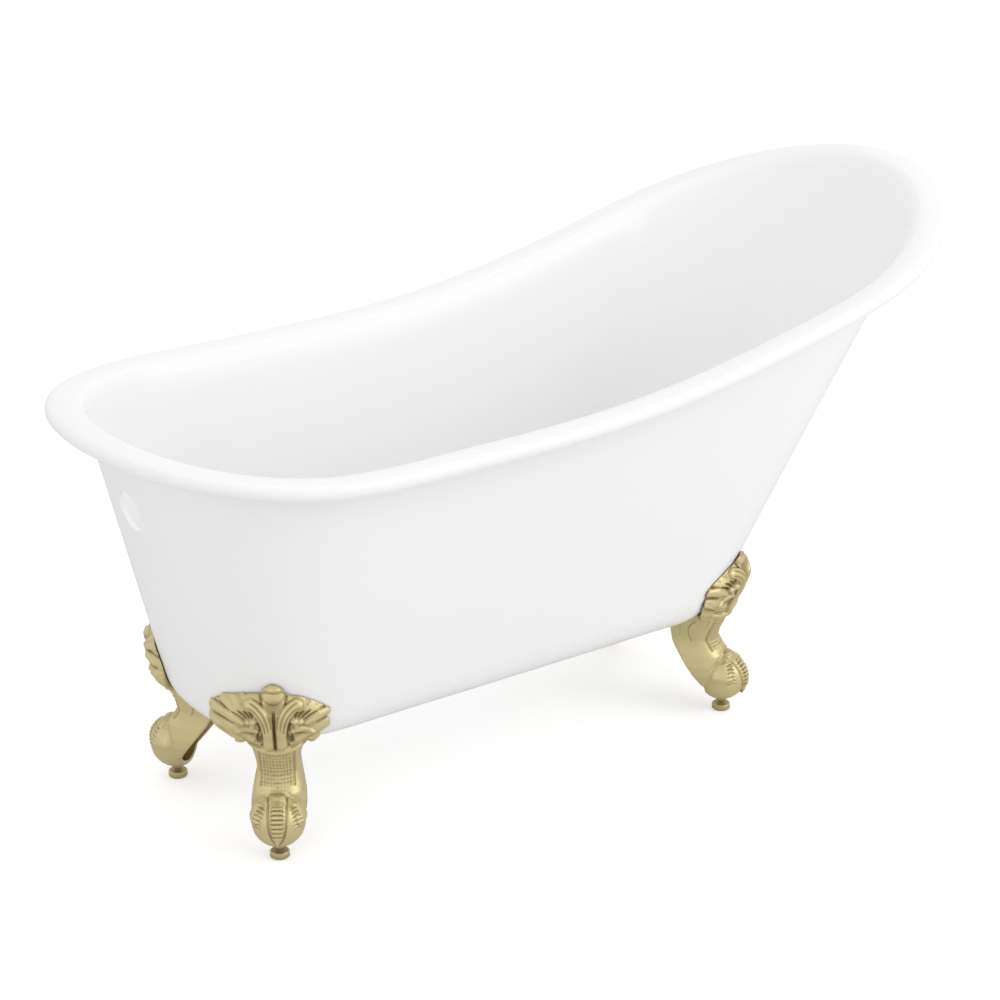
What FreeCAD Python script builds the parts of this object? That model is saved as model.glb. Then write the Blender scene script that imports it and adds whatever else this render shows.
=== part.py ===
"""Single-slipper bathtub on four ball-and-claw feet: cast tub, feet, fixings and levelling screws.

Millimetres. +Z is up from the floor, +X points to the high head end, the drain and overflow are
at the -X foot end. The origin is on the floor under the middle of the tub.
"""
import FreeCAD, Part
import math
import os

V = FreeCAD.Vector
UP = V(0, 0, 1)

# ---- Rim, seen from above: a half circle at the head, a flatter D at the foot end -------------
length = 1448.0
width = 635.0
foot_corner_slack = 28.5       # half the width less the radius of the foot end's corners
foot_end_radius = 381.0

head_steps, side_steps, corner_steps, end_steps = 6, 7, 5, 2      # stations round half the tub

# ---- Rim height above the floor along the tub (centre of the rolled edge) --------------------
rim_height_foot_end = 618.0
rim_height_foot_corner = 596.0
rim_height_lowest = 590.5
rim_height_middle = 600.5
rim_height_rise = 650.0
rim_height_shoulder = 719.0
rim_height_head_end = 787.0
rim_stations = ((-1.0, rim_height_foot_end), (-0.75, rim_height_foot_corner), (-0.4, rim_height_lowest),
                (0.0, rim_height_middle), (0.4, rim_height_rise), (0.75, rim_height_shoulder),
                (1.0, rim_height_head_end))

# ---- Rolled edge -----------------------------------------------------------------------------
roll_radius = 11.0
rim_overhang = 38.5          # from the centre of the roll in to the outer face of the wall
rim_thickness = 8.0
roll_step = 45                # degrees between the control rings of the roll
neck_depth = 34.0             # how far down the wall the rim's curve starts

# ---- Body ------------------------------------------------------------------------------------
underside_height = 163.5
wall = 6.5
bottom_edge_radius = 66.0
foot_end_lean = 155.5         # how far the bottom's foot end lies inside the rim's
head_end_lean = 399.5         # the same at the sloping head end
side_lean = 144.0
bottom_corner_slack = 25.5
bottom_end_radius = 272.0

# ---- Waste and overflow holes ----------------------------------------------------------------
drain_radius = 26.0
drain_from_foot_end = 120.0   # from the foot end of the bottom
drain_countersink = 3.0
overflow_radius = 30.0
overflow_height = 503.0

# ---- Feet ------------------------------------------------------------------------------------
foot_in_drain_end = 49.5      # from the ends of the bottom to the levelling screws
foot_in_head_end = 41.5
foot_in_side = 26.5
foot_heading = 34.0          # degrees that each foot is turned from the side towards its end
foot_wall = 5.0
ball_radius = 38.0
ball_height = 57.0
ball_back = -20.0            # the open back: upright behind the ball, then sloping, then upright
ball_back_top = 43.0
leg_back = -77.0
leg_back_foot = 119.0
leg_top_back = -30.0
leg_stations = ((48.0, 6.0, 33.0), (66.0, 9.0, 39.0), (80.0, 10.0, 38.5), (98.0, 6.0, 35.0),
                (110.0, -5.0, 32.0), (122.0, -11.5, 30.0), (136.0, -8.0, 31.0), (150.0, -1.0, 33.0),
                (166.0, 5.0, 37.0), (180.0, 8.0, 40.0), (194.0, 11.0, 42.0))   # height, front, half width
back_corner = 16.0           # where the sloping back turns upright, how much the corner is eased
toe_width = 20.5
toe_rise = 2.5
toe_end_angle = 14.0         # degrees below level where the middle toe ends and its claw starts
side_toe_end_angle = 24.0
claw_root_radius = 7.5
claw_length = 19.0
side_toe_turn = 58.0
rib_count = 8
rib_width = 14.0
rib_thickness = 2.6
rib_rise = 0.9
rib_top_angle = 50.0
panel_width = 45.0
panel_foot = 107.0
panel_top = 154.0
panel_rise = 1.5

# ---- Crest: the leafy shell that stands in front of the tub ----------------------------------
crest_gap = 1.0
crest_wall = 8.0
crest_depth = 60.0
crest_half_width = 91.0
crest_top = 275.0
crest_middle = 218.0
crest_cut_top = 320.0
crest_front = ((157.0, 4.0, 330.0), (164.0, 8.0, 250.0), (171.0, 10.0, 193.0), (178.0, 13.0, 105.0),
               (188.0, 18.0, 70.0), (203.0, 26.0, 58.0), (218.0, 31.5, 58.0), (234.0, 36.0, 60.0),
               (250.0, 33.0, 60.0), (263.0, 26.0, 58.0), (275.0, 14.0, 56.0), (284.0, 2.0, 56.0))
# height, how far forward the middle stands, how far the side tips lie behind the middle
crest_shoulders = ((0.0, 275.0), (18.0, 262.0), (38.0, 259.0), (62.0, 256.0), (80.0, 250.0), (96.0, 246.0))
crest_lobes = (((0, 275), (12.5, 271), (18, 259)), ((18, 259), (28, 260.5), (38, 256)),
               ((38, 256), (63, 257), (76, 241)), ((76, 241), (90, 233), (91, 217)),
               ((91, 217), (88, 202), (72, 188)), ((72, 188), (58, 177), (43, 171)),
               ((43, 171), (24, 166), (0, 164)))                # arcs: across, height

# ---- Fixing of a foot under the tub ----------------------------------------------------------
lug_height = 14.0
lug_radius = 15.0
fixing_setback = 48.0        # from the levelling screw back to the fixing stud
seat_plate = 7.0
stud_radius = 5.0
stud_hole_clearance = 1.0
thread_clearance = 0.05
stud_length = 33.0
stud_hole_depth = 13.0
washer_radius = 10.5
washer_thickness = 2.0
nut_across_flats = 17.0
nut_height = 8.0

# ---- Levelling screw -------------------------------------------------------------------------
pad_radius = 14.0
pad_height = 9.5
pad_edge = 1.5
screw_radius = 4.0
screw_length = 44.0
boss_radius = 9.0
boss_tip = 12.5              # height of the boss tip above the floor, screw fully home bar 2 mm
boss_top = 30.0
jam_nut_across_flats = 13.0
jam_nut_height = 5.0

# ---- Worked out ------------------------------------------------------------------------------
roll_line_half_length = length / 2 - roll_radius
roll_line_half_width = width / 2 - roll_radius
lug_seat_height = underside_height - lug_height
bottom_foot_x = -length / 2 + foot_end_lean
bottom_head_x = length / 2 - head_end_lean
bottom_half_width = width / 2 - side_lean
drain_x = bottom_foot_x + drain_from_foot_end
foot_x_drain_end = bottom_foot_x + foot_in_drain_end
foot_x_head_end = bottom_head_x - foot_in_head_end
foot_y = bottom_half_width - foot_in_side
foot_corner_radius = width / 2 - foot_corner_slack
bottom_corner_radius = bottom_half_width - bottom_corner_slack


def export(shape, node):
    shape.exportStep("parts/%s.step" % node)
    print("%-26s %2d solid %3d faces %12.1f mm3 valid %s" % (
        node, len(shape.Solids), len(shape.Faces), shape.Volume, shape.isValid()))


def arc_points(centre_x, centre_y, radius, start, end, steps, closed_end):
    """Points and outward directions on an arc seen from above, angles in radians."""
    count = steps + 1 if closed_end else steps
    points = []
    for i in range(count):
        angle = start + (end - start) * i / steps
        c, s = math.cos(angle), math.sin(angle)
        points.append((centre_x + radius * c, centre_y + radius * s, c, s))
    return points


def outline(foot_x, head_x, half_width, corner_radius, end_radius):
    """One closed outline from above: head half circle, straight sides, foot corners, foot end arc.

    Every outline has the same number of points in the same order, so that they can be lofted.
    """
    slack = half_width - corner_radius
    reach = math.sqrt((end_radius - corner_radius) ** 2 - slack ** 2)
    corner_x = foot_x + end_radius - reach
    turn = math.pi - math.atan2(slack, reach)
    head_centre = head_x - half_width
    half = arc_points(head_centre, 0, half_width, 0, math.pi / 2, head_steps, True)
    for i in range(1, side_steps):
        half.append((head_centre + (corner_x - head_centre) * i / side_steps, half_width, 0.0, 1.0))
    half += arc_points(corner_x, slack, corner_radius, math.pi / 2, turn, corner_steps, False)
    half += arc_points(foot_x + end_radius, 0, end_radius, turn, math.pi, end_steps, True)
    other = [(x, -y, nx, -ny) for x, y, nx, ny in half[-2:0:-1]]
    return half + other


def rim_height_curve():
    points = [V(x * roll_line_half_length, 0, z) for x, z in rim_stations]
    curve = Part.BSplineCurve()
    curve.interpolate(points)
    return curve


RIM_CURVE = rim_height_curve()


def rim_height(x):
    """Height of the centre of the rolled edge where the rim is at x."""
    limit = roll_line_half_length
    x = max(-limit + 1e-4, min(limit - 1e-4, x))
    plane = Part.Plane(V(x, 0, 0), V(1, 0, 0))
    return RIM_CURVE.intersect(plane)[0][0].Z


def roll_line():
    return outline(-roll_line_half_length, roll_line_half_length, roll_line_half_width,
                   foot_corner_radius - roll_radius, foot_end_radius - roll_radius)


ROLL_LINE = roll_line()
ROLL_HEIGHTS = [rim_height(p[0]) for p in ROLL_LINE]


def rim_frames():
    """For each point of the roll line: centre, outward direction, and the direction across both."""
    centres = [V(p[0], p[1], z) for p, z in zip(ROLL_LINE, ROLL_HEIGHTS)]
    frames = []
    for i, (x, y, nx, ny) in enumerate(ROLL_LINE):
        along = centres[(i + 1) % len(centres)] - centres[i - 1]
        outward = V(nx, ny, 0)
        across = outward.cross(along)
        across.normalize()
        frames.append((centres[i], outward, across))
    return frames


RIM_FRAMES = rim_frames()


def rim_ring(outward_offset, up_offset):
    """A ring round the rolled edge, measured from the centre of the roll."""
    return [centre + outward * outward_offset + across * up_offset
            for centre, outward, across in RIM_FRAMES]


def wall_lines(inset):
    """For each station the virtual bottom corner, the wall's top and the outward direction."""
    bottom = outline(bottom_foot_x + inset, bottom_head_x - inset, bottom_half_width - inset,
                     bottom_corner_radius - inset, bottom_end_radius - inset)
    lines = []
    for (bx, by, nx, ny), (centre, outward, across) in zip(bottom, RIM_FRAMES):
        low = V(bx, by, underside_height + inset)
        top = centre - outward * (rim_overhang + inset)
        lines.append((low, top, V(nx, ny, 0)))
    return lines


def edge_turn(line, radius):
    """How far the bottom edge's arc turns at a station, and its tangent length."""
    low, top, outward = line
    sweep = math.pi / 2 - math.atan2((top - low).dot(outward), top.z - low.z)
    return sweep, radius * math.tan(sweep / 2)


def edge_point(line, radius, turned):
    low, top, outward = line
    tangent = edge_turn(line, radius)[1]
    return low + outward * (radius * math.sin(turned) - tangent) + UP * (radius * (1 - math.cos(turned)))


def edge_ring(inset, share):
    """A ring on the rounded bottom edge, from the flat underside (0) to the wall (1)."""
    radius = bottom_edge_radius - inset
    return [edge_point(line, radius, share * edge_turn(line, radius)[0]) for line in wall_lines(inset)]


def level_ring(height, inset):
    """The body's outline at one height; a negative inset is outside the body."""
    radius = bottom_edge_radius - inset
    ring = []
    for line in wall_lines(inset):
        low, top, outward = line
        climb = height - low.z
        if climb < radius * (1 - math.cos(edge_turn(line, radius)[0])):
            ring.append(edge_point(line, radius, math.acos(1 - max(climb, 0) / radius)))
        else:
            ring.append(low + (top - low) * (climb / (top.z - low.z)))
    return ring


def ring_parameters():
    """Spline parameters shared by every ring, so that lofts through rings stay light."""
    parameters = [0.0]
    for i, (centre, outward, across) in enumerate(RIM_FRAMES):
        step = (RIM_FRAMES[(i + 1) % len(RIM_FRAMES)][0] - centre).Length
        parameters.append(parameters[-1] + step / length)
    return parameters


RING_PARAMETERS = ring_parameters()


def ring_curve(points):
    curve = Part.BSplineCurve()
    curve.interpolate(Points=points, PeriodicFlag=True, Parameters=RING_PARAMETERS)
    return curve


def closed_wire(points):
    return Part.Wire([ring_curve(points).toShape()])


def skin_faces(rings, parts):
    """A smooth skin that starts at the first ring, ends at the last and is drawn towards the rest.

    It is cut into narrow faces, parts to each span, so that its facets stay few.
    """
    curves = [ring_curve(r) for r in rings]
    columns = list(zip(*[c.getPoles() for c in curves]))
    around = curves[0]
    degree = min(2, len(rings) - 1)
    spans = len(rings) - degree
    knots = [float(i) for i in range(spans + 1)]
    mults = [degree + 1] + [1] * (spans - 1) + [degree + 1]
    surface = Part.BSplineSurface()
    surface.buildFromPolesMultsKnots([list(c) for c in columns], around.getMultiplicities(), mults,
                                     around.getKnots(), knots, True, False, 3, degree)
    start, end = surface.bounds()[:2]
    steps = [i / parts for i in range(spans * parts + 1)]
    return [surface.toShape(start, end, low, high) for low, high in zip(steps, steps[1:])]


def neck_ring(inset, down_wall, outward_offset, up_offset):
    """A ring where the wall curves into the rim, measured from the wall's top and down the wall."""
    ring = []
    for (low, top, out), (centre, outward, across) in zip(wall_lines(inset), RIM_FRAMES):
        down = low - top
        down.normalize()
        ring.append(top + down * down_wall + outward * outward_offset + across * up_offset)
    return ring


def roll_ring(degrees):
    """A control ring of the roll; the roll itself touches the middles between such rings."""
    reach = roll_radius / math.cos(math.radians(roll_step / 2))
    angle = math.radians(degrees)
    return rim_ring(reach * math.cos(angle), reach * math.sin(angle))


def rim_rings():
    """Control rings of the rolled rim, from the outer wall, round the roll, to the inner wall."""
    hollow = roll_radius - rim_thickness
    inner_face = -rim_overhang - wall
    rings = [neck_ring(0.0, neck_depth, 0.0, 0.0), neck_ring(0.0, 6.0, 0.0, 0.0),
             rim_ring(-rim_overhang + 12.0, hollow), rim_ring(-roll_radius - 10.0, hollow)]
    rings += [roll_ring(a) for a in range(-135, 91, roll_step)]
    rings += [rim_ring(inner_face + 12.0, roll_radius - 0.5), neck_ring(wall, 4.0, 0.0, 0.0),
              neck_ring(wall, neck_depth, 0.0, 0.0)]
    return rings


def edge_rings(inset):
    """The bottom edge's control rings: end of the flat, virtual corner, foot of the wall."""
    return [edge_ring(inset, 0.0), [line[0] for line in wall_lines(inset)], edge_ring(inset, 1.0)]


def sewn_solid(faces):
    shell = Part.makeShell(faces)
    shell.sewShape()
    return Part.makeSolid(shell)


def tub_shell():
    """The skin up the outside, round the rolled rim and down the inside, closed by two flat floors."""
    outer, inner, rim = edge_rings(0.0), edge_rings(wall), rim_rings()
    faces = [Part.Face(closed_wire(outer[0])), Part.Face(closed_wire(inner[0]))]
    faces += skin_faces(outer, 2) + skin_faces([outer[-1], rim[0]], 1)
    faces += skin_faces(rim, 2)
    faces += skin_faces([rim[-1], inner[-1]], 1) + skin_faces(inner[::-1], 2)
    return sewn_solid(faces)


def body_block(inset, top_height):
    """The lower body as a solid block, smaller by the inset or, if that is negative, larger."""
    outer, top = edge_rings(inset), level_ring(top_height, inset)
    faces = [Part.Face(closed_wire(outer[0])), Part.Face(closed_wire(top))]
    return sewn_solid(faces + skin_faces(outer, 2) + skin_faces([outer[-1], top], 1))


def foot_end_wall():
    """Point on the foot-end wall at the overflow's height, and the way out through the wall."""
    low, top, outward = min(wall_lines(0.0), key=lambda line: line[1].x)
    slope = top - low
    point = low + slope * ((overflow_height - low.z) / slope.z)
    out = V(-slope.z, 0, slope.x)
    out.normalize()
    return point, out


def waste_cut():
    top = underside_height + wall
    hole = Part.makeCylinder(drain_radius, 3 * wall, V(drain_x, 0, underside_height - wall))
    sink = Part.makeCone(drain_radius, drain_radius + 2 * drain_countersink, 2 * drain_countersink,
                         V(drain_x, 0, top - drain_countersink))
    return hole.fuse(sink)


def overflow_cut():
    point, out = foot_end_wall()
    return Part.makeCylinder(overflow_radius, 6 * wall, point - out * (3 * wall), out)


def fixing_axis(place, facing):
    return place - facing * fixing_setback


def make_tub():
    tub, basin = tub_shell(), body_block(wall, underside_height + 150.0)
    tub = tub.cut(waste_cut()).cut(overflow_cut())
    for name, place, facing in corner_frames():
        at = fixing_axis(place, facing)
        lug = Part.makeCylinder(lug_radius, lug_height + 40.0, V(at.x, at.y, lug_seat_height)).cut(basin)
        hole = Part.makeCylinder(stud_radius + thread_clearance, stud_hole_depth,
                                 V(at.x, at.y, lug_seat_height))
        tub = tub.fuse(lug).cut(hole)
    return tub


# ---- A foot, in its own frame: X is the way it faces, Z up, the levelling screw on the Z axis ---
def leg_section(height, front, half, grow):
    """One level section of the leg: a half ellipse in front of two straight sides."""
    front, half = front + grow, half + grow
    centre = front - 0.8 * half
    arc = Part.Ellipse(V(centre, half, height), V(front, 0, height), V(centre, 0, height))
    corners = [V(centre, -half, height), V(leg_back - 20, -half, height),
               V(leg_back - 20, half, height), V(centre, half, height)]
    return Part.Wire([arc.toShape(0, math.pi)] + [Part.makeLine(a, b) for a, b in zip(corners, corners[1:])])


def leg_block(grow):
    return Part.makeLoft([leg_section(z, front, half, grow) for z, front, half in leg_stations], True, True)


def side_prism(points):
    """A prism right across the foot from an outline of (forward, height) points."""
    wire = Part.makePolygon([V(d, -120, z) for d, z in points + points[:1]])
    return Part.Face(wire).extrude(V(0, 240, 0))


def behind_leg():
    """All that lies behind the leg's open back: upright, sloping, then upright to the tub."""
    slope = V(leg_back - ball_back, leg_back_foot - ball_back_top, 0)
    slope.normalize()
    eased = (leg_back - slope.x * back_corner, leg_back_foot - slope.y * back_corner)
    middle = (leg_back + back_corner * 0.17, leg_back_foot - back_corner * 0.04)
    return side_prism([(-140, -20), (ball_back, -20), (ball_back, ball_back_top), eased, middle,
                       (leg_back, leg_back_foot + back_corner), (leg_back, 300), (-140, 300)])


def toe_band(end_angle):
    """A rounded band that lies on the ball from the knuckle down to the given angle below level."""
    half, rise = toe_width / 2, ball_radius + toe_rise
    centre = V(0, 0, ball_height)
    crown = Part.Arc(V(rise - 7, -half, ball_height), V(rise, 0, ball_height), V(rise - 7, half, ball_height))
    corners = [V(rise - 7, half, ball_height), V(10, half, ball_height), V(10, -half, ball_height),
               V(rise - 7, -half, ball_height)]
    sides = [Part.makeLine(a, b) for a, b in zip(corners, corners[1:])]
    section = Part.Face(Part.Wire([crown.toShape()] + sides))
    section.rotate(centre, V(0, 1, 0), end_angle)
    return section.revolve(centre, V(0, 1, 0), -(end_angle + 88))


def toe_ribs(end_angle):
    """Cross ribs, evenly spaced along a toe."""
    centre = V(0, 0, ball_height)
    ribs = []
    for i in range(rib_count):
        rib = Part.makeBox(9, rib_width, rib_thickness,
                           V(ball_radius + toe_rise + rib_rise - 9, -rib_width / 2, ball_height - rib_thickness / 2))
        rib.rotate(centre, V(0, 1, 0), end_angle - (end_angle + rib_top_angle) * i / (rib_count - 1))
        ribs.append(rib)
    return ribs


def middle_toe():
    """The middle toe: knuckle, ribbed band and pointed claw."""
    angle = math.radians(toe_end_angle)
    root = V(0, 0, ball_height) + V(math.cos(angle), 0, -math.sin(angle)) * (ball_radius + toe_rise - 7.5)
    along = V(-math.sin(angle), 0, -math.cos(angle))
    claw = Part.makeCone(claw_root_radius, 0.8, claw_length, root, along + V(0.30, 0, 0))
    knuckle = Part.makeSphere(toe_width * 0.62, V(2, 0, ball_height + ball_radius - 2))
    return toe_band(toe_end_angle).multiFuse(
        [Part.makeSphere(claw_root_radius, root), claw, knuckle] + toe_ribs(toe_end_angle - 2))


def side_toe(turn):
    toe = toe_band(side_toe_end_angle).multiFuse(toe_ribs(side_toe_end_angle - 4))
    toe.rotate(V(0, 0, 0), UP, turn)
    return toe


def shoulder(across):
    """Height of the crest's upper edge at a distance from its middle."""
    across = abs(across)
    for (w0, z0), (w1, z1) in zip(crest_shoulders, crest_shoulders[1:]):
        if across <= w1:
            return z0 + (z1 - z0) * (across - w0) / (w1 - w0)
    return crest_shoulders[-1][1]


def crest_face(setback):
    """The crest's curved front: it bulges, rolls back at its upper edge and sweeps back at the sides."""
    columns = []
    for across in [crest_half_width * 1.05 * i / 6 for i in range(-6, 7)]:
        drop = (crest_top - shoulder(across))
        column = []
        for height, forward, sweep in crest_front:
            z = height - drop * max(0.0, (height - crest_middle) / (crest_top - crest_middle))
            d = forward - sweep * (across / crest_half_width) ** 2
            column.append(V(max(d, leg_back) - setback, across, z))
        columns.append(column)
    surface = Part.BSplineSurface()
    surface.interpolate(columns)
    return surface.toShape()


def crest_prism(share):
    """The crest's lobed outline as a prism, drawn in towards its middle by a share."""
    def at(side, point):
        return V(-120, side * point[0] * share, crest_middle + (point[1] - crest_middle) * share)
    right = [Part.Arc(*[at(1, p) for p in lobe]).toShape() for lobe in crest_lobes]
    left = [Part.Arc(*[at(-1, p) for p in lobe[::-1]]).toShape() for lobe in crest_lobes[::-1]]
    return Part.Face(Part.Wire(right + left)).extrude(V(240, 0, 0))


def crest():
    shell = crest_face(0.0).extrude(V(-crest_depth, 0, 0)).common(crest_prism(1.0))
    inside = crest_face(crest_wall).extrude(V(-crest_depth, 0, 0))
    return shell.cut(inside.common(crest_prism(1 - crest_wall / 60)))


def make_foot(place, facing):
    """The casting: leg, ball, three toes and crest, hollow from behind, seat plate and boss."""
    body = leg_block(0.0).fuse(Part.makeSphere(ball_radius, V(0, 0, ball_height)))
    body = body.fuse([middle_toe(), side_toe(side_toe_turn), side_toe(-side_toe_turn)])
    panel = leg_block(panel_rise).common(Part.makeBox(80, panel_width, panel_top - panel_foot,
                                                      V(-40, -panel_width / 2, panel_foot)))
    body = body.fuse(panel).cut(behind_leg())
    plate = Part.makeBox(200, 200, seat_plate, V(-150, -100, lug_seat_height - seat_plate))
    hollow = leg_block(-foot_wall).fuse(Part.makeSphere(ball_radius - foot_wall, V(0, 0, ball_height)))
    body = body.fuse(crest()).cut(hollow.cut(plate))
    body = body.fuse(Part.makeCylinder(boss_radius, boss_top - boss_tip, V(0, 0, boss_tip)))
    body = body.cut(Part.makeCylinder(screw_radius + thread_clearance, boss_top, V(0, 0, 0)))
    body = body.cut(Part.makeCylinder(stud_radius + stud_hole_clearance, 40,
                                      V(-fixing_setback, 0, lug_seat_height - 20)))
    body.Placement = foot_placement(place, facing)
    body = body.cut(body_block(-crest_gap, crest_cut_top))
    return max(body.Solids, key=lambda solid: solid.Volume)


def foot_placement(place, facing):
    turn = math.degrees(math.atan2(facing.y, facing.x))
    return FreeCAD.Placement(place, FreeCAD.Rotation(UP, turn))


def hexagon_prism(across_flats, height, at):
    radius = across_flats / math.sqrt(3)
    corners = [at + V(radius * math.cos(math.radians(a)), radius * math.sin(math.radians(a)), 0)
               for a in range(0, 361, 60)]
    return Part.Face(Part.makePolygon(corners)).extrude(V(0, 0, height))


def make_nut(across_flats, height, bore, at):
    """A hexagon nut with chamfered corners."""
    block = hexagon_prism(across_flats, height, at)
    taper = across_flats / math.sqrt(3) - across_flats / 2
    base = across_flats / 2 + taper / 2
    for z, up in ((at.z, 1), (at.z + height, -1)):
        cone = Part.makeCone(base, base + 2 * height, 2 * height, V(at.x, at.y, z), V(0, 0, up))
        block = block.common(cone)
    return block.cut(Part.makeCylinder(bore, height, at))


def make_stud(at):
    low = V(at.x, at.y, lug_seat_height + stud_hole_depth - 1.0 - stud_length)
    stud = Part.makeCylinder(stud_radius, stud_length, low)
    return stud.makeChamfer(0.8, [e for e in stud.Edges if e.Curve.TypeId == "Part::GeomCircle"])


def make_washer(at):
    low = V(at.x, at.y, lug_seat_height - seat_plate - washer_thickness)
    ring = Part.makeCylinder(washer_radius, washer_thickness, low)
    return ring.cut(Part.makeCylinder(stud_radius + 0.25, washer_thickness, low))


def make_levelling_screw(at):
    pad = Part.makeCylinder(pad_radius, pad_height, at)
    pad = pad.makeChamfer(pad_edge, [e for e in pad.Edges if e.Curve.TypeId == "Part::GeomCircle"])
    stem = Part.makeCylinder(screw_radius, pad_height - 1 + screw_length, at + V(0, 0, 1))
    return pad.fuse(stem)


def corner_frames():
    """Name, position and heading of each foot; the heading is the way the foot faces."""
    frames = []
    for end, x, sign_x in (("drain_end", foot_x_drain_end, -1), ("head_end", foot_x_head_end, 1)):
        for side, sign_y in (("near", -1), ("far", 1)):
            turn = math.radians(foot_heading)
            facing = V(sign_x * math.sin(turn), sign_y * math.cos(turn), 0)
            frames.append(("%s_%s" % (end, side), V(x, sign_y * foot_y, 0), facing))
    return frames


def mirrored(shape):
    return shape.mirror(V(0, 0, 0), V(0, 1, 0))


def main():
    os.makedirs("parts", exist_ok=True)
    export(make_tub(), "tub")
    feet = {}
    for name, place, facing in corner_frames():
        end, side = name.rsplit("_", 1)
        feet[end] = mirrored(feet[end]) if end in feet else make_foot(place, facing)
        export(feet[end], "foot_" + name)
        at = fixing_axis(place, facing)
        under_plate = lug_seat_height - seat_plate - washer_thickness
        export(make_stud(at), "stud_" + name)
        export(make_washer(at), "washer_" + name)
        export(make_nut(nut_across_flats, nut_height, stud_radius + thread_clearance,
                        V(at.x, at.y, under_plate - nut_height)), "nut_" + name)
        export(make_levelling_screw(place), "levelling_screw_" + name)
        export(make_nut(jam_nut_across_flats, jam_nut_height, screw_radius + thread_clearance,
                        V(place.x, place.y, boss_top)), "jam_nut_" + name)


if __name__ == "__main__":
    main()
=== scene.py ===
# %% [markdown]
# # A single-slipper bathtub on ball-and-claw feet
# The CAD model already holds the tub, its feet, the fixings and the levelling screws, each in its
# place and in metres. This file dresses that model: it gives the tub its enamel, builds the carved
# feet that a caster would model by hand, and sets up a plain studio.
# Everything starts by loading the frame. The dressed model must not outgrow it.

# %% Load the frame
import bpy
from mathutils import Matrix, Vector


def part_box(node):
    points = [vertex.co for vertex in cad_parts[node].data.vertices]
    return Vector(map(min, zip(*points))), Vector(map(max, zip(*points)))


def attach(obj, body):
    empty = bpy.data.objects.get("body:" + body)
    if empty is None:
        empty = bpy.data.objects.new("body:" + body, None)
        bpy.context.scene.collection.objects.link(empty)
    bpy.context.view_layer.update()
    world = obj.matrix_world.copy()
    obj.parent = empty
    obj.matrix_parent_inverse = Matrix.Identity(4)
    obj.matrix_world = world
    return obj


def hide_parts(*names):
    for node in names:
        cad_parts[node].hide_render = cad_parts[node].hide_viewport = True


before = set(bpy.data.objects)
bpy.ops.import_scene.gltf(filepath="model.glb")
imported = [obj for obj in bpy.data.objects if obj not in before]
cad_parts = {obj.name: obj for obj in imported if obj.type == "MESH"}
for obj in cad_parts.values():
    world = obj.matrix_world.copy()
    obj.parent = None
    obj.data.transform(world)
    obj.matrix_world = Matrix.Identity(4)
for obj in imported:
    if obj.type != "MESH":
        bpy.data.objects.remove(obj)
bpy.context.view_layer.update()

# %% Tools that every later cell uses
import math
import bpy
import numpy as np
from mathutils import Matrix, Vector

MM = 0.001

# %% [markdown]
# ## Materials
# A material is a small graph of nodes. The tub is white vitreous enamel: a hard, glossy, almost
# even coat over cast iron. Real enamel is never perfectly flat, so a very weak, broad bump is
# enough to make long reflections swim a little.

# %% A helper that starts a material
def new_material(name, colour, roughness, metallic=0.0):
    """A material with its Principled shader set; the tree and the shader come back for more."""
    material = bpy.data.materials.new(name)
    material.use_nodes = True
    shader = material.node_tree.nodes["Principled BSDF"]
    shader.inputs["Base Color"].default_value = (*colour, 1.0)
    shader.inputs["Roughness"].default_value = roughness
    shader.inputs["Metallic"].default_value = metallic
    return material, material.node_tree, shader


def add_bump(tree, shader, source, strength, distance):
    """Tilt the shading by a source of heights; the distance is the full height in metres."""
    bump = tree.nodes.new("ShaderNodeBump")
    bump.inputs["Strength"].default_value = strength
    bump.inputs["Distance"].default_value = distance
    tree.links.new(source, bump.inputs["Height"])
    tree.links.new(bump.outputs["Normal"], shader.inputs["Normal"])


def add_noise(tree, scale, detail):
    """Soft random spots, fixed to the piece itself."""
    place = tree.nodes.new("ShaderNodeTexCoord")
    noise = tree.nodes.new("ShaderNodeTexNoise")
    noise.inputs["Scale"].default_value = scale
    noise.inputs["Detail"].default_value = detail
    tree.links.new(place.outputs["Object"], noise.inputs["Vector"])
    return noise.outputs["Fac"]


# %% White enamel
def make_enamel():
    material, tree, shader = new_material("white_enamel", colour=(0.92, 0.92, 0.92), roughness=0.2)
    shader.inputs["Specular IOR Level"].default_value = 0.2
    waves = add_noise(tree, scale=7.0, detail=1.0)
    add_bump(tree, shader, waves, strength=0.04, distance=0.004)
    return material


enamel = make_enamel()
print("enamel:", enamel.name)

# %% [markdown]
# The feet are iron castings with a satin, pale gold finish. Shade is painted into the gold: it is darker
# and browner in the hollows and the cuts, and plain gold on the high places. The
# Ambient Occlusion node finds the broad hollows, whatever the form is. The fine cuts are too small
# for it, so the carving below stores their depth as an attribute named "cut", read here.

# %% Pale gold
HOLLOW_REACH = 0.016
# How strongly the cut depth adds to the painted shade.
CUT_SHADE_STRENGTH = 0.48


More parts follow.
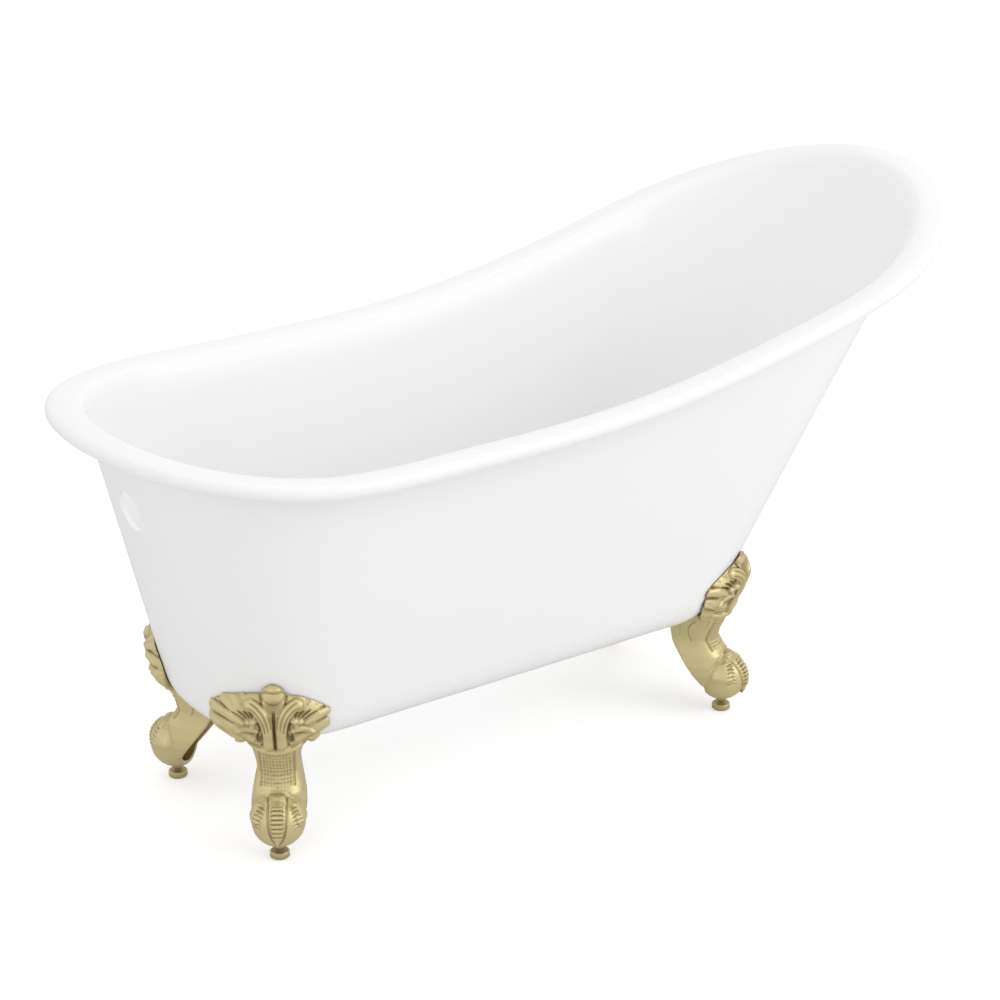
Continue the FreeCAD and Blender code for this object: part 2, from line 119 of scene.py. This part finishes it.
def make_gold():
    material, tree, shader = new_material("pale_gold", colour=(0.62, 0.53, 0.27),
                                          roughness=0.40, metallic=0.5)
    # Painted shade: the Ambient Occlusion value, lowered further by the cut depth, turns the gold dark
    # brown in hollows and cuts.
    hollow = tree.nodes.new("ShaderNodeAmbientOcclusion")
    hollow.inputs["Distance"].default_value = HOLLOW_REACH
    hollow.samples = 8
    ramp = tree.nodes.new("ShaderNodeValToRGB")
    ramp.color_ramp.elements[0].position = 0.20
    ramp.color_ramp.elements[0].color = (0.22, 0.17, 0.06, 1)
    ramp.color_ramp.elements[1].position = 0.95
    ramp.color_ramp.elements[1].color = (0.63, 0.54, 0.28, 1)
    # The cut depth paints extra shade into the fine cuts.
    cut = tree.nodes.new("ShaderNodeAttribute")
    cut.attribute_name = "cut"
    painted_shade_level = tree.nodes.new("ShaderNodeMath")
    painted_shade_level.operation = "MULTIPLY_ADD"
    painted_shade_level.inputs[1].default_value = -CUT_SHADE_STRENGTH
    tree.links.new(cut.outputs["Fac"], painted_shade_level.inputs[0])
    tree.links.new(hollow.outputs["AO"], painted_shade_level.inputs[2])
    tree.links.new(painted_shade_level.outputs[0], ramp.inputs["Fac"])
    tree.links.new(ramp.outputs["Color"], shader.inputs["Base Color"])
    grain = add_noise(tree, scale=220.0, detail=3.0)
    add_bump(tree, shader, grain, strength=0.08, distance=0.0006)
    return material


gold = make_gold()
print("gold:", gold.name)

# %% [markdown]
# The studs, washers and nuts under the tub are zinc-plated steel. Only someone who looks
# underneath sees them, but they still get a real finish: grey, half rough and a little blotchy.

# %% Zinc-plated steel
def make_zinc():
    material, tree, shader = new_material("zinc_plate", colour=(0.56, 0.57, 0.58),
                                          roughness=0.38, metallic=0.9)
    mix = tree.nodes.new("ShaderNodeValToRGB")
    mix.color_ramp.elements[0].color = (0.45, 0.46, 0.48, 1)
    mix.color_ramp.elements[1].color = (0.66, 0.66, 0.66, 1)
    blotch = add_noise(tree, scale=260.0, detail=2.0)
    tree.links.new(blotch, mix.inputs["Fac"])
    tree.links.new(mix.outputs["Color"], shader.inputs["Base Color"])
    return material


zinc = make_zinc()
print("zinc:", zinc.name)

# %% [markdown]
# ## Dress the CAD parts
# Each CAD part's object carries its name.

# %% Give each CAD part its finish
FINISHES = {"tub": enamel, "foot": gold, "levelling": gold}


def finish_cad(node, material):
    obj = bpy.data.objects[node]
    obj.data.materials.clear()
    obj.data.materials.append(material)


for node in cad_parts:
    finish_cad(node, FINISHES.get(node.split("_")[0], zinc))
print("dressed", len(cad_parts), "CAD parts")

# %% [markdown]
# ## The carved feet
# Each foot is an iron casting in the old ball-and-claw pattern: a leafy crest against the tub, a
# leg with a panel of scales, and three toes that grip a ball. The CAD solid has the right body,
# but its edges are machine-sharp and its crest is plain. A carver would take a blank and cut
# into it, and the same idea works here: copy the CAD foot as a blank, turn it into one skin of
# small even faces with the Remesh modifier, and push that skin in and out along drawn strokes.
# A sculpted mesh could look the same, but strokes are written numbers, so they can be changed.

# %% Where each foot stands and which way it faces
FOOT_HEADING = math.radians(34.0)
foot_names = [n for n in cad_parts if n.startswith("foot_")]


def foot_place(name):
    """The matrix from a foot's own axes (forward, across, up) to the room."""
    low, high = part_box(name.replace("foot", "levelling_screw", 1))
    x, y = (low[0] + high[0]) / 2, (low[1] + high[1]) / 2
    forward = Vector((math.copysign(math.sin(FOOT_HEADING), x),
                      math.copysign(math.cos(FOOT_HEADING), y), 0))
    across = Vector((-forward.y, forward.x, 0))
    return Matrix(((forward.x, across.x, 0, x),
                   (forward.y, across.y, 0, y),
                   (0, 0, 1, 0),
                   (0, 0, 0, 1)))


for name in foot_names:
    print(name, "stands at", [round(v, 3) for v in foot_place(name).translation])

# %% [markdown]
# The blank's faces must be smaller than the finest cut. The leaf veins are about 2 mm wide, so
# faces of about 1 mm are enough.

# %% A blank of small even faces
BLANK_FACE = 0.0011


def make_blank(name):
    """A remeshed copy of a CAD foot, in the foot's own axes."""
    source = bpy.data.objects[name].data.copy()
    source.transform(foot_place(name).inverted())
    blank = bpy.data.objects.new("carved_" + name, source)
    bpy.context.collection.objects.link(blank)
    remesh = blank.modifiers.new("skin", "REMESH")
    remesh.mode = "VOXEL"
    remesh.voxel_size = BLANK_FACE
    scene_state = bpy.context.evaluated_depsgraph_get()
    skin = bpy.data.meshes.new_from_object(blank.evaluated_get(scene_state))
    blank.modifiers.clear()
    blank.data = skin
    bpy.data.meshes.remove(source)
    return blank


# %% [markdown]
# Sand casting rounds every edge. Moving each point towards the middle of its neighbours, over and
# over, does the same. A mask says how strongly: hard on the crest, whose leaves are blunt, and
# lightly on the toes, where the small ribs must survive.

# %% Soften the skin
def read_skin(mesh):
    """Every point's place and normal, as two arrays."""
    count = len(mesh.vertices)
    places, normals = np.empty(count * 3), np.empty(count * 3)
    mesh.vertices.foreach_get("co", places)
    mesh.vertices.foreach_get("normal", normals)
    return places.reshape(-1, 3), normals.reshape(-1, 3)


def write_skin(mesh, places):
    mesh.vertices.foreach_set("co", places.ravel())
    mesh.update()


def soften(mesh, rounds, mask):
    """Move each point towards its neighbours' mean; mask(places in mm) gives the share, 0 to 1."""
    ends = np.empty(len(mesh.edges) * 2, int)
    mesh.edges.foreach_get("vertices", ends)
    a, b = ends.reshape(-1, 2).T
    places, _ = read_skin(mesh)
    share, count = mask(places / MM)[:, None], len(places)
    neighbours = np.bincount(ends, minlength=count)[:, None]
    for _ in range(rounds):
        total = np.stack([np.bincount(a, places[b, i], count) + np.bincount(b, places[a, i], count)
                          for i in range(3)], axis=1)
        places += (total / neighbours - places) * share
    write_skin(mesh, places)


def ramp(values, start, end):
    """0 before the start, 1 past the end, and even between them; either may be the larger."""
    return np.clip((values - start) / (end - start), 0, 1)


# %% [markdown]
# A stroke is a smooth line drawn on the front of the foot, as (across, height) in millimetres,
# with a half width at each point and one height: above zero it raises a ridge, below zero it cuts
# a groove. Only the right half is drawn; taking the distance from the middle makes the other
# half. The line is rounded with a Catmull-Rom curve, which passes through the drawn points.

# %% Strokes
def smooth_line(points, steps=5):
    """Catmull-Rom through the points; each point may carry a half width as its third number."""
    p = np.array(points, float)
    p = np.vstack([2 * p[0] - p[1], p, 2 * p[-1] - p[-2]])
    line = []
    for a, b, c, d in zip(p, p[1:], p[2:], p[3:]):
        for t in np.arange(steps) / steps:
            line.append(0.5 * (2 * b + (c - a) * t + (2 * a - 5 * b + 4 * c - d) * t ** 2
                               + (3 * b - a - 3 * c + d) * t ** 3))
    return np.array(line + [p[-2]])


def stroke(u, v, points, height, power=1.0):
    """How far a stroke lifts each point (u, v) of the surface; 0 outside the stroke."""
    line = smooth_line(points)
    best = np.zeros_like(u)
    for (u0, v0, w0), (u1, v1, w1) in zip(line, line[1:]):
        du, dv = u1 - u0, v1 - v0
        along = np.clip(((u - u0) * du + (v - v0) * dv) / (du * du + dv * dv + 1e-9), 0, 1)
        half_width = np.maximum(w0 + (w1 - w0) * along, 0.05)
        away = np.hypot(u - u0 - along * du, v - v0 - along * dv) / half_width
        best = np.maximum(best, 1 - np.minimum(away, 1) ** 2)
    return height * best ** power


def blob(u, v, place, size, height, power=0.5):
    """An oval dome, or with power 1 and a height below zero a soft hollow."""
    away = ((u - place[0]) / size[0]) ** 2 + ((v - place[1]) / size[1]) ** 2
    return height * np.clip(1 - away, 0, 1) ** power


# %% [markdown]
# The crest is drawn as the casting shows it: two long petals rise side by side from the collar,
# part at the top and curl outwards under a small cap leaf. Outside them a knot of buds sits in a
# fan of deep veins, a pointed leaf reaches out below it, and two broad lobes make each side tip.

# %% The crest's strokes: petals, cap leaf and collar
def petals(w, z):
    petal = [(8.4, 177, 7.4), (8.8, 186, 8.2), (9.6, 204, 8.6), (11.6, 220, 9.0),
             (15.5, 233, 9.8), (22, 242, 9.4), (30, 246, 8.0), (36, 245, 6.0)]
    veins = ([(3.6, 212, 0.7), (5.6, 228, 1.3), (10.5, 241, 1.5), (18, 249.5, 1.4), (27, 253, 0.8)],
             [(8.2, 208, 0.7), (10.4, 224, 1.4), (15.4, 236.5, 1.6), (22.5, 244, 1.5), (31, 248, 0.8)],
             [(12.4, 204, 0.7), (14.8, 219, 1.4), (19.8, 231, 1.6), (27, 238.5, 1.5), (35, 242, 0.8)])
    parting = [(0, 238, 2.0), (0, 230, 2.0), (0, 214, 1.7), (0, 190, 1.8), (0, 172, 1.8)]
    flank = [(18, 175, 1.8), (18.8, 185, 2.6), (18.8, 200, 2.6), (21, 213, 2.2), (24, 221, 1.6)]
    lift = stroke(w, z, petal, 5.0, 0.55)
    for vein in veins:
        lift += stroke(w, z, vein, -3.0)
    lift += stroke(w, z, parting, -4.4, 0.9)
    return lift + stroke(w, z, flank, -2.6)


def cap_leaf(w, z):
    lip = [(0, 264.4, 1.3), (9, 264.2, 1.3), (14.5, 261.6, 1.0)]
    side = [(17.6, 250, 1.3), (18.2, 259, 1.8), (13.8, 267, 1.3)]
    lift = blob(w, z, (0, 263), (17.5, 13), 4.4)
    lift += blob(w, z, (0, 250), (13.5, 17), -5.6, 1.0)
    return lift + stroke(w, z, lip, -3.0) + stroke(w, z, side, -2.6)


def collar(w, z):
    edge = [(0, 166, 4.6), (14, 166.6, 4.6), (28, 169, 4.0), (42, 173.4, 3.0), (54, 178.4, 2.0)]
    above = [(20, 171.0, 1.5), (30, 174.4, 2.2), (40, 178.6, 2.2), (50, 183, 1.4)]
    return stroke(w, z, edge, 4.0, 0.8) + stroke(w, z, above, -1.6)


# %% The crest's strokes: buds, veins, pointed leaf and side lobes
def buds_and_veins(w, z):
    lift = blob(w, z, (28.5, 221.5), (6.4, 5.0), 5.6) + blob(w, z, (37, 218), (5.2, 3.8), 4.4)
    lift += blob(w, z, (31, 212.5), (4.6, 3.6), 3.4)
    veins = (((31, 228), (35, 236)), ((35, 226.5), (42.5, 236)),
             ((39.5, 224), (50.5, 234.5)), ((43.5, 220.5), (59, 230.5)))
    for (w0, z0), (w1, z1) in veins:
        middle = ((w0 + w1) / 2 - 0.8, (z0 + z1) / 2 + 0.9)
        lift += stroke(w, z, [(w0, z0, 1.3), (*middle, 2.5), (w1, z1, 1.0)], -3.8, 0.9)
    fan = (((46, 243), (50, 254)), ((58, 239), (67, 249)), ((68, 232), (81, 241)))
    for (w0, z0), (w1, z1) in fan:
        middle = ((w0 + w1) / 2, (z0 + z1) / 2)
        lift += stroke(w, z, [(w0, z0, 1.6), (*middle, 4.2), (w1, z1, 3.6)], -1.1)
    return lift


def pointed_leaf(w, z):
    lift = stroke(w, z, [(24, 204, 3.4), (31, 205.5, 5.0), (41, 204, 4.6), (53, 199, 1.2)], 3.8, 0.9)
    lift += stroke(w, z, [(27, 205.4, 0.8), (38, 204.8, 1.3), (48, 201.2, 0.7)], -1.3)
    lift += stroke(w, z, [(21, 202, 2.2), (23, 192, 3.8), (22.5, 182, 2.8)], -4.4, 1.2)
    lift += stroke(w, z, [(31, 197.4, 2.4), (41, 196, 3.4), (52, 193.8, 1.8)], -2.8)
    return lift


def side_lobes(w, z):
    upper = [(44, 214, 3.4), (57, 219.5, 5.4), (71, 224.5, 6.4), (84, 224, 5.0)]
    lower = [(30, 187, 4.2), (44, 193.5, 6.2), (58, 201, 7.0), (72, 208, 7.0), (87, 213, 5.0)]
    lift = stroke(w, z, upper, 3.2, 0.9)
    lift += stroke(w, z, [(62, 231, 1.4), (73, 235, 2.6), (84, 234.6, 2.0)], -2.8)
    lift += stroke(w, z, lower, 4.0, 0.9)
    lift += stroke(w, z, [(57, 210.4, 1.2), (69, 215.4, 2.4), (86, 218.4, 2.0)], -3.2)
    lift += stroke(w, z, [(45, 183.5, 2.0), (56, 188, 4.0), (66, 194.5, 4.4), (73, 201.5, 2.2)], -6.6, 0.9)
    return lift


def puff(w, z):
    """The lower lobe of each side tip is blown out all round, so it also widens the outline."""
    return stroke(w, z, [(50, 179, 9), (62, 185, 12), (76, 197, 11), (84, 206, 8)], 5.5, 0.7)


def crest_relief(w, z):
    """All forms together, on a ground that is sunk between them so that they stand out."""
    ground = -3.0 * ramp(w, 60, 40) * ramp(z, 180, 192) * ramp(z, 262, 240)
    forms = (petals, cap_leaf, collar, buds_and_veins, pointed_leaf, side_lobes)
    return ground + sum(form(w, z) for form in forms)


# %% [markdown]
# Below the crest, the ankle carries a panel of small scales in ten columns and nine rows. Each
# scale is a rounded tile whose lower end stands proud, so one formula for a single tile is
# repeated by taking only the fraction of the column and the row. Lines border the panel.

# %% Scales and border lines on the leg
PANEL_HALF, PANEL_LOW, PANEL_HIGH = 22.5, 107.5, 158.0
SCALE_COLUMNS, SCALE_ROWS = 10, 9
SCALE_HEIGHT, PANEL_SUNK = 3.0, 2.0


def scales(w, z):
    column = ((w + PANEL_HALF) / (2 * PANEL_HALF) * SCALE_COLUMNS) % 1.0
    row = np.interp(z, (PANEL_LOW, 122, 136, PANEL_HIGH), (0, 3.2, 5.6, SCALE_ROWS)) % 1.0
    crown = np.sqrt(np.clip(1 - np.abs(2 * column - 1) ** 2, 0, 1))
    tile = crown * np.sqrt(np.clip(1 - np.abs(2 * row - 1) ** 3, 0, 1))
    inside = (np.abs(w) < PANEL_HALF) & (z > PANEL_LOW) & (z < PANEL_HIGH)
    lift = np.where(inside, tile * (SCALE_HEIGHT - row) - PANEL_SUNK, 0)
    lift += stroke(np.abs(w), z, [(24.2, 107, 1.2), (23.9, 130, 1.4), (24.8, 160, 1.8)], -1.8)
    return lift + stroke(np.abs(w), z, [(30, 134, 0.8), (30.6, 146, 1.4), (32, 158, 1.6)], -1.3)


def leg_lines(d, z):
    """Lines cut in the flanks, drawn as (forward, height)."""
    lift = stroke(d, z, [(-63, 158, 0.8), (-61, 148, 1.0), (-62, 128, 0.8)], -1.2)
    lift += stroke(d, z, [(-36, 156, 0.9), (-46, 146, 1.4), (-48, 134, 1.4), (-43, 119, 0.8)], -1.6)
    return lift


# %% [markdown]
# The toes grip the ball like fingers. A groove goes round the middle toe so that it reads as a
# separate form, and short cuts part its ribs, each at its own angle up the ball. The side toes
# get the same cuts, drawn on the ball unrolled. A web of skin ends in an arch over the ball.

# %% Toes
BALL_HEIGHT, BALL_RADIUS = 57.0, 38.0
RIB_PITCH = math.radians(8.86)
SIDE_TOE_TURN = math.radians(51)


def rib_cuts(u, rise, first, count, reach):
    """Short cuts across a toe, evenly spaced by the angle up the ball from `first`."""
    heights = first + RIB_PITCH * np.arange(count)
    return sum(stroke(u, rise, [(-reach, h - 1.5, 0.7), (0, h, 1.4), (reach, h - 1.5, 0.7)], -1.7)
               for h in heights * BALL_RADIUS)


def toe_relief(d, w, z):
    middle_toe = [(0, 104, 9.0), (0, 96, 11.0), (0, 80, 11.2), (0, 64, 10.4),
                  (0, 53, 8.6), (0, 44, 4.6), (0, 36, 1.4)]
    groove = [(12.8, 101, 0.8), (13.2, 92, 1.7), (13.4, 78, 1.8), (12.6, 64, 1.8),
              (10.6, 53, 1.6), (6.6, 42, 1.5), (1.6, 33, 1.0)]
    web = [(14.6, 99, 1.0), (19, 94, 1.5), (25, 90, 1.5), (30, 88, 1.0)]
    lift = stroke(w, z, middle_toe, 1.6, 0.5)
    lift += stroke(np.abs(w), z, groove, -2.0)
    lift += stroke(np.abs(w), z, web, -1.8)
    rise = BALL_RADIUS * np.arctan2(z - BALL_HEIGHT, np.hypot(d, w))
    lift += rib_cuts(w, rise, first=math.radians(-7.6), count=7, reach=9.5)
    side = BALL_RADIUS * (np.abs(np.arctan2(w, d)) - SIDE_TOE_TURN)
    return lift + rib_cuts(side, rise, first=math.radians(1.3), count=6, reach=7.5)


# %% [markdown]
# The side toes are half hidden: a smooth lobe of skin covers their outer half, and below the
# middle of the ball they are cut away. The middle knuckle is worn flat. All three are changes of
# the distance from the ball's middle, so the points are moved straight in or out.

# %% Side toes, knuckle and boss
LOBE_PROUD, CUT_TOE_PROUD, KNUCKLE_PROUD = 3.4, 0.2, 5.2
NECK_RADIUS, NECK_TOP, BOSS_TOP, BOSS_FLARE = 5.6, 12.5, 19, 0.75


def shape_ball(places):
    """Cover, cut away and flatten the toes, each to its own height over the ball."""
    middle = np.array((0, 0, BALL_HEIGHT * MM))
    away = places - middle
    reach = np.linalg.norm(away, axis=1) / MM
    x, y, z = (places / MM).T
    turn = np.degrees(np.arctan2(np.abs(y), x))
    lobe = ramp(turn, 58, 63) * ramp(turn, 112, 96) * ramp(z, 56, 66) * ramp(z, 104, 92)
    low = ramp(turn, 34, 40) * ramp(turn, 100, 90) * ramp(z, 62, 57) * ramp(z, 24, 28)
    knuckle = ramp(x, 0, 4) * ramp(z, 92, 96) * ramp(z, 112, 108) * ramp(np.abs(y), 18, 14)
    outside = (reach > BALL_RADIUS - 1.6) & ((reach < BALL_RADIUS + 6) | (knuckle > 0))
    wanted = reach + lobe * (BALL_RADIUS + LOBE_PROUD - reach)
    wanted = wanted + low * np.minimum(BALL_RADIUS + CUT_TOE_PROUD - wanted, 0)
    wanted = wanted + knuckle * np.minimum(BALL_RADIUS + KNUCKLE_PROUD - wanted, 0)
    share = np.where(outside, wanted / reach, 1)
    return middle + away * share[:, None]


def taper_boss(places):
    """The boss under the ball narrows to a neck just above the pad."""
    x, y, z = (places / MM).T
    reach = np.hypot(x, y)
    wanted = np.minimum(reach, NECK_RADIUS + BOSS_FLARE * np.maximum(z - NECK_TOP, 0))
    share = np.where((z < BOSS_TOP) & (reach > NECK_RADIUS), wanted / np.maximum(reach, 0.1), 1)
    return places * np.stack([share, share, np.ones_like(share)], axis=1)


# %% [markdown]
# The strokes lift the skin along its own normals. Each set of strokes works only where it
# belongs: the crest's on faces that look forward above the collar, the scales on the front of the
# ankle, the toes on the ball. A soft mask, from 0 to 1, fades each set out at its border.
# The depth of every cut is kept on the points as an attribute, from which the finish paints shade into the
# cuts. The worn knuckle is marked there too, so the finish paints it darker as well.

# %% Carve a blank
# A cut this deep, in mm, gets the full painted shade.
FULL_SHADE_DEPTH = 4.5


def carve(blank):
    """Soften, shape and carve the blank; the least and the greatest lift come back, in mm."""
    soften(blank.data, rounds=10, mask=lambda p: 0.08 + 0.5 * ramp(p[:, 2], 89, 99))
    places, _ = read_skin(blank.data)
    write_skin(blank.data, taper_boss(shape_ball(places)))
    places, normals = read_skin(blank.data)
    d, w, z = (places / MM).T
    crest = ramp(z, 160, 162) * ramp(d, -70, -60)
    lift = crest_relief(np.abs(w), z) * ramp(normals[:, 0], -0.25, 0.05) * crest
    lift += puff(np.abs(w), z) * ramp(normals[:, 0], -0.3, 0.0) * crest
    ankle = ramp(normals[:, 0], 0.25, 0.4) * ramp(d, -30, -25) * ramp(z, 162, 160) * (z > 103)
    lift += scales(w, z) * ankle
    flank = ramp(np.abs(normals[:, 1]), 0.7, 0.85) * ramp(np.abs(w), 24, 27)
    lift += leg_lines(d, z) * flank
    outward = (normals * (places - (0, 0, BALL_HEIGHT * MM))).sum(axis=1) > 0.01
    lift += toe_relief(d, w, z) * ramp(d, 0, 8) * ramp(z, 114, 108) * outward
    write_skin(blank.data, places + normals * (lift * MM)[:, None])
    soften(blank.data, rounds=2, mask=lambda p: 0.10 + 0.2 * ramp(p[:, 2], 160, 168))
    # Painted shade: the cut depth, and half strength over the knuckle, darken the gold in the finish.
    cut = blank.data.attributes.new("cut", "FLOAT", "POINT")
    knuckle = 0.5 * ramp(np.abs(w), 11.5, 9.5) * ramp(z, 86, 89) * ramp(z, 107, 104) * (d > 0)
    cut.data.foreach_set("value", np.maximum(np.clip(-lift / FULL_SHADE_DEPTH, 0, 1), knuckle))
    return lift.min(), lift.max()


# %% Make the four carved feet
def make_carved_foot(name):
    blank = make_blank(name)
    low, high = carve(blank)
    blank.data.transform(foot_place(name))
    blank.data.shade_smooth()
    blank.data.materials.clear()
    blank.data.materials.append(gold)
    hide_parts(name)
    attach(blank, "bath")
    print(blank.name, len(blank.data.vertices), "points, moved", round(low, 1), "to",
          round(high, 1), "mm")


for name in foot_names:
    make_carved_foot(name)

# %% [markdown]
# ## The studio
# The photograph is a catalogue view: white all round, with light so soft that nothing throws a
# hard shadow. The world is white where the camera, or a mirror, looks straight at it, and a
# slightly dimmer white where it lights the tub, which keeps the enamel from burning out.

# %% World
def make_world(seen, lighting):
    world = bpy.data.worlds.new("white_studio")
    world.use_nodes = True
    bpy.context.scene.world = world
    tree = world.node_tree
    background = tree.nodes["Background"]
    path = tree.nodes.new("ShaderNodeLightPath")
    mirrored = tree.nodes.new("ShaderNodeMath")
    mirrored.operation = "MAXIMUM"
    tree.links.new(path.outputs["Is Camera Ray"], mirrored.inputs[0])
    tree.links.new(path.outputs["Is Glossy Ray"], mirrored.inputs[1])
    looked_at = tree.nodes.new("ShaderNodeMath")
    looked_at.operation = "MAXIMUM"
    tree.links.new(mirrored.outputs[0], looked_at.inputs[0])
    tree.links.new(path.outputs["Is Transmission Ray"], looked_at.inputs[1])
    level = tree.nodes.new("ShaderNodeMapRange")
    level.inputs["To Min"].default_value = lighting
    level.inputs["To Max"].default_value = seen
    tree.links.new(looked_at.outputs[0], level.inputs["Value"])
    tree.links.new(level.outputs[0], background.inputs["Strength"])
    background.inputs["Color"].default_value = (1, 1, 1, 1)


WORLD_SEEN, WORLD_LIGHTING = 1.0, 0.83
make_world(WORLD_SEEN, WORLD_LIGHTING)
print("world: seen at", WORLD_SEEN, "and lighting at", WORLD_LIGHTING)

# %% [markdown]
# A floor that is lit like any other surface goes grey towards the back. Here the camera sees some
# of the floor's own glow added to its lit colour, so open floor is white and only the shadow of
# the feet is left on it.

# %% Floor
FLOOR_HEIGHT, FLOOR_HALF, FLOOR_GLOW = -0.0005, 12, 0.42


def make_floor():
    half, height = FLOOR_HALF, FLOOR_HEIGHT
    mesh = bpy.data.meshes.new("floor")
    corners = [(-half, -half, height), (half, -half, height), (half, half, height), (-half, half, height)]
    mesh.from_pydata(corners, [], [(0, 1, 2, 3)])
    floor = bpy.data.objects.new("floor", mesh)
    bpy.context.collection.objects.link(floor)
    material, tree, shader = new_material("white_floor", colour=(0.80, 0.80, 0.80), roughness=0.9)
    shader.inputs["Specular IOR Level"].default_value = 0.0
    shader.inputs["Emission Color"].default_value = (1, 1, 1, 1)
    path = tree.nodes.new("ShaderNodeLightPath")
    glow = tree.nodes.new("ShaderNodeMath")
    glow.operation = "MULTIPLY"
    glow.inputs[1].default_value = FLOOR_GLOW
    tree.links.new(path.outputs["Is Camera Ray"], glow.inputs[0])
    tree.links.new(glow.outputs[0], shader.inputs["Emission Strength"])
    mesh.materials.append(material)
    print("floor at", FLOOR_HEIGHT, "m")


make_floor()

# %% [markdown]
# Three large area lamps do the modelling. The key hangs over the near side and to the right, so
# the long side of the tub is a little brighter than the end wall. A weak one above opens the
# basin, and another on the left keeps the end wall from going grey.

# %% Lamps
def add_area_lamp(name, place, target, size, power):
    lamp = bpy.data.lights.new(name, "AREA")
    lamp.shape = "SQUARE"
    lamp.size = size
    lamp.energy = power
    obj = bpy.data.objects.new(name, lamp)
    obj.location = place
    obj.rotation_euler = (Vector(target) - Vector(place)).to_track_quat("-Z", "Y").to_euler()
    bpy.context.collection.objects.link(obj)
    print(name, "gives", power, "W")


add_area_lamp("key_lamp", place=(2.4, -3.4, 2.4), target=(0, 0, 0.4), size=2.6, power=52)
add_area_lamp("top_lamp", place=(-0.4, 0.2, 3.4), target=(0, 0, 0.4), size=3.0, power=9)
add_area_lamp("side_lamp", place=(-3.4, -1.2, 1.5), target=(0, 0, 0.5), size=2.2, power=9)

# %% [markdown]
# ## The camera
# The camera stands where the photographer stood. Its place was worked out from the outlines of
# the rim and the body, the levelling pads and the overflow hole: turned 35 degrees from the side,
# 22 degrees above level, almost four metres away with a long lens.

# %% Camera
CAMERA_TURN, CAMERA_LIFT = math.radians(-35.32), math.radians(22.0)
CAMERA_DISTANCE = 3.8955
CAMERA_TARGET = Vector((-0.0367, 0.0, 0.3766))
FOCAL_LENGTH, SENSOR_WIDTH = 94.14, 36.0


def make_camera():
    lens = bpy.data.cameras.new("camera")
    lens.sensor_width = SENSOR_WIDTH
    lens.lens = FOCAL_LENGTH
    lens.clip_end = 60.0
    back = Vector((math.sin(CAMERA_TURN) * math.cos(CAMERA_LIFT),
                   -math.cos(CAMERA_TURN) * math.cos(CAMERA_LIFT), math.sin(CAMERA_LIFT)))
    camera = bpy.data.objects.new("camera", lens)
    camera.location = CAMERA_TARGET + back * CAMERA_DISTANCE
    camera.rotation_euler = back.to_track_quat("Z", "Y").to_euler()
    bpy.context.collection.objects.link(camera)
    bpy.context.scene.camera = camera
    print("camera at", [round(v, 3) for v in camera.location])


make_camera()
bpy.context.scene.view_settings.view_transform = "Standard"
